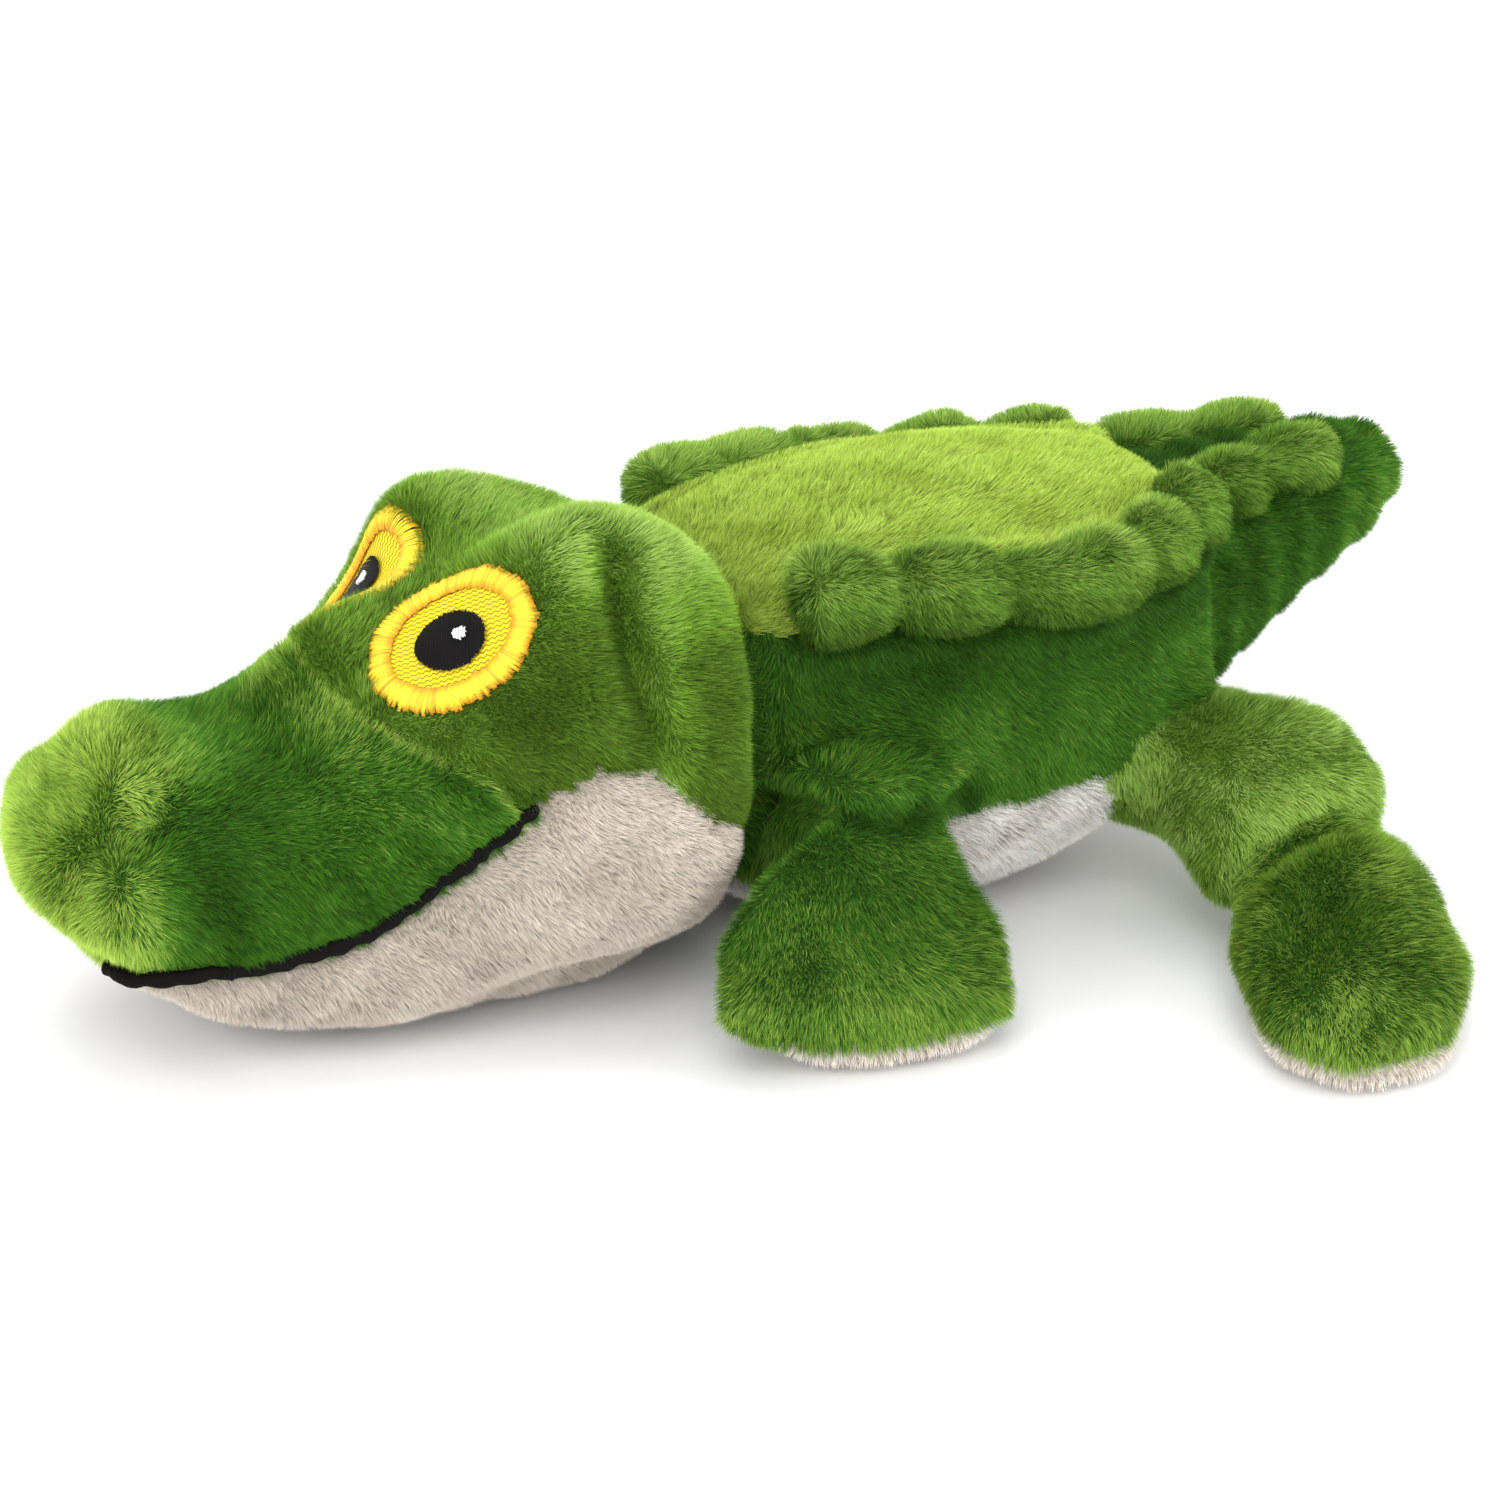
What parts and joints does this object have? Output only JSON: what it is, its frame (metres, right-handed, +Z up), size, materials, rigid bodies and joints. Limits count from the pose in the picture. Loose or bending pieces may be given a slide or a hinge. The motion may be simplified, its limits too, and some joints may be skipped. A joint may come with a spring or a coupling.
{
  "type": "crocodile squeaky dog toy",
  "caption": "Stuffed plush crocodile dog toy lying on its belly, with scalloped back frills, embroidered eyes, a sewn mouth line, splayed legs and a press squeaker in its body.",
  "frame": {"origin": "bottom centre of the toy's outline, on the floor that it lies on", "axes": "+X from the nose to the tail, -Y to the animal's left side, +Z up"},
  "size_m": [0.328, 0.2794, 0.103],
  "materials": {
    "back_plush": "short bright yellow-green plush pile",
    "side_plush": "dark green plush pile",
    "snout_plush": "dark green plush pile, combed back from the nose",
    "crown_plush": "mid green plush pile",
    "frill_plush": "long light green plush pile",
    "white_plush": "off-white plush pile",
    "stuffing": "loose white polyester fibre",
    "squeaker_plastic": "thin moulded white plastic",
    "black_thread": "black satin stitch",
    "eye_yellow": "yellow woven felt patch",
    "eye_border_yellow": "bright yellow satin stitch",
    "white_thread": "white satin stitch"
  },
  "bodies": {
    "torso": {"back_panel": "back_plush", "left_side_panel": "side_plush", "right_side_panel": "side_plush", "belly_panel": "white_plush", "torso_filling_upper": "stuffing", "torso_filling_lower": "stuffing", "squeaker_base": "squeaker_plastic", "squeaker_bellows": "squeaker_plastic", "squeaker_reed_plug": "squeaker_plastic", "squeaker_reed": "squeaker_plastic", "left_frill": "frill_plush", "right_frill": "frill_plush"},
    "squeaker_button": {"squeaker_cap": "squeaker_plastic"},
    "neck": {"neck_sleeve": "side_plush", "neck_filling": "stuffing"},
    "head": {"jaw_panel": "white_plush", "snout_panel": "snout_plush", "crown_panel": "crown_plush", "head_filling": "stuffing", "mouth_piping": "black_thread", "left_eye_patch": "eye_yellow", "left_eye_border": "eye_border_yellow", "left_pupil": "black_thread", "left_eye_highlight": "white_thread", "right_eye_patch": "eye_yellow", "right_eye_border": "eye_border_yellow", "right_pupil": "black_thread", "right_eye_highlight": "white_thread"},
    "tail": {"tail_skin": "side_plush", "tail_filling": "stuffing", "left_tail_frill": "frill_plush", "right_tail_frill": "frill_plush"},
    "front_left_leg": {"front_left_leg_cover": "side_plush", "front_left_leg_filling": "stuffing", "front_left_leg_sole": "white_plush"},
    "front_right_leg": {"front_right_leg_cover": "side_plush", "front_right_leg_filling": "stuffing", "front_right_leg_sole": "white_plush"},
    "rear_left_thigh": {"rear_left_thigh_cover": "crown_plush", "rear_left_thigh_filling": "stuffing"},
    "rear_left_foot": {"rear_left_foot_cover": "side_plush", "rear_left_foot_filling": "stuffing", "rear_left_foot_sole": "white_plush"},
    "rear_right_thigh": {"rear_right_thigh_cover": "crown_plush", "rear_right_thigh_filling": "stuffing"},
    "rear_right_foot": {"rear_right_foot_cover": "side_plush", "rear_right_foot_filling": "stuffing", "rear_right_foot_sole": "white_plush"}
  },
  "joints": [
    {"name": "neck_turn", "type": "hinge", "parent": "torso", "child": "neck", "pos_m": [-0.018, 0, 0.05], "axis": [0, 0, 1], "range_deg": [-12, 12], "stiffness_Nm_per_rad": 2.5},
    {"name": "head_nod", "type": "hinge", "parent": "neck", "child": "head", "pos_m": [-0.018, 0, 0.05], "axis": [0, 1, 0], "range_deg": [-8, 8], "stiffness_Nm_per_rad": 2.5},
    {"name": "tail_sway", "type": "hinge", "parent": "torso", "child": "tail", "pos_m": [0.087, 0, 0.056], "axis": [0, 0, 1], "range_deg": [-20, 20], "stiffness_Nm_per_rad": 1},
    {"name": "front_left_leg_lift", "type": "hinge", "parent": "torso", "child": "front_left_leg", "pos_m": [-0.012, -0.052, 0.044], "axis": [-1, 0, 0], "range_deg": [-5, 30], "stiffness_Nm_per_rad": 0.4},
    {"name": "front_right_leg_lift", "type": "hinge", "parent": "torso", "child": "front_right_leg", "pos_m": [-0.012, 0.052, 0.044], "axis": [1, 0, 0], "range_deg": [-5, 30], "stiffness_Nm_per_rad": 0.4},
    {"name": "rear_left_hip_lift", "type": "hinge", "parent": "torso", "child": "rear_left_thigh", "pos_m": [0.076, -0.033, 0.031], "axis": [-1, 0, 0], "range_deg": [-5, 20], "stiffness_Nm_per_rad": 0.8},
    {"name": "rear_right_hip_lift", "type": "hinge", "parent": "torso", "child": "rear_right_thigh", "pos_m": [0.076, 0.033, 0.031], "axis": [1, 0, 0], "range_deg": [-5, 20], "stiffness_Nm_per_rad": 0.8},
    {"name": "rear_left_knee_bend", "type": "hinge", "parent": "rear_left_thigh", "child": "rear_left_foot", "pos_m": [0.084, -0.083, 0.02], "axis": [-1, 0, 0], "range_deg": [-10, 20], "stiffness_Nm_per_rad": 0.3},
    {"name": "rear_right_knee_bend", "type": "hinge", "parent": "rear_right_thigh", "child": "rear_right_foot", "pos_m": [0.084, 0.083, 0.02], "axis": [1, 0, 0], "range_deg": [-10, 20], "stiffness_Nm_per_rad": 0.3},
    {"name": "squeaker_press", "type": "slide", "parent": "torso", "child": "squeaker_button", "axis": [0, 0, -1], "range_m": [0, 0.007], "stiffness_N_per_m": 300, "deforming": ["squeaker_bellows"]}
  ]
}
